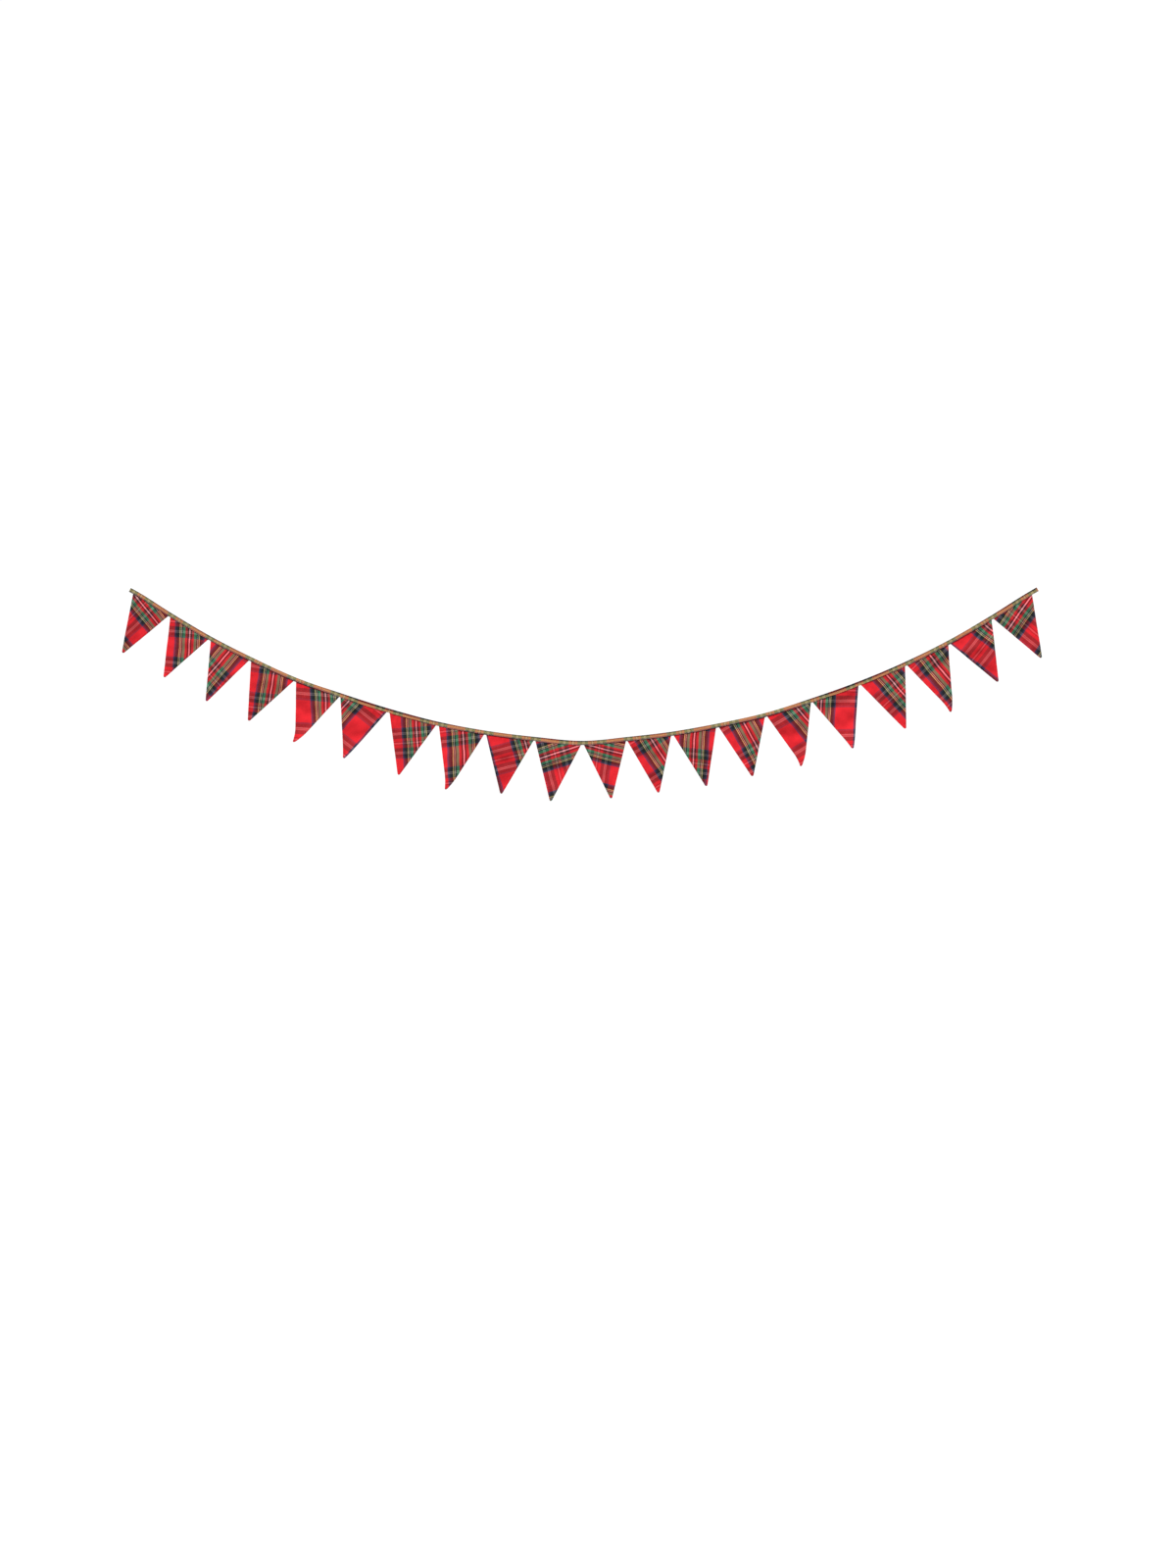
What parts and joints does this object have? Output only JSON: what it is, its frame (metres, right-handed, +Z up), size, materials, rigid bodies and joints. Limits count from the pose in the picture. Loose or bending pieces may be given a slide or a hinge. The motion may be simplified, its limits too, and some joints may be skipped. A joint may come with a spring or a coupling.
{
  "type": "fabric bunting",
  "caption": "Tartan cloth bunting: a row of triangular pennants sewn into a long folded tape that hangs in a shallow swag from its two ends.",
  "frame": {"origin": "left end of the tape, on the top of its fold, where the bunting is hung from", "axes": "+X to the right along the swag, +Y to the back, +Z up; the front faces -Y"},
  "size_m": [2.8356, 0.0206, 0.6587],
  "materials": {
    "tape_cloth": "woven tartan cloth, folded over and pressed, matt",
    "pennant_cloth": "woven red tartan cloth in two layers, sewn and turned, with a slight sheen"
  },
  "bodies": {
    "root": {"binding_tape": "tape_cloth", "pennant_01": "pennant_cloth", "pennant_02": "pennant_cloth", "pennant_03": "pennant_cloth", "pennant_04": "pennant_cloth", "pennant_05": "pennant_cloth", "pennant_06": "pennant_cloth", "pennant_07": "pennant_cloth", "pennant_08": "pennant_cloth", "pennant_09": "pennant_cloth", "pennant_10": "pennant_cloth", "pennant_11": "pennant_cloth", "pennant_12": "pennant_cloth", "pennant_13": "pennant_cloth", "pennant_14": "pennant_cloth", "pennant_15": "pennant_cloth", "pennant_16": "pennant_cloth", "pennant_17": "pennant_cloth", "pennant_18": "pennant_cloth", "pennant_19": "pennant_cloth", "pennant_20": "pennant_cloth"}
  },
  "joints": []
}
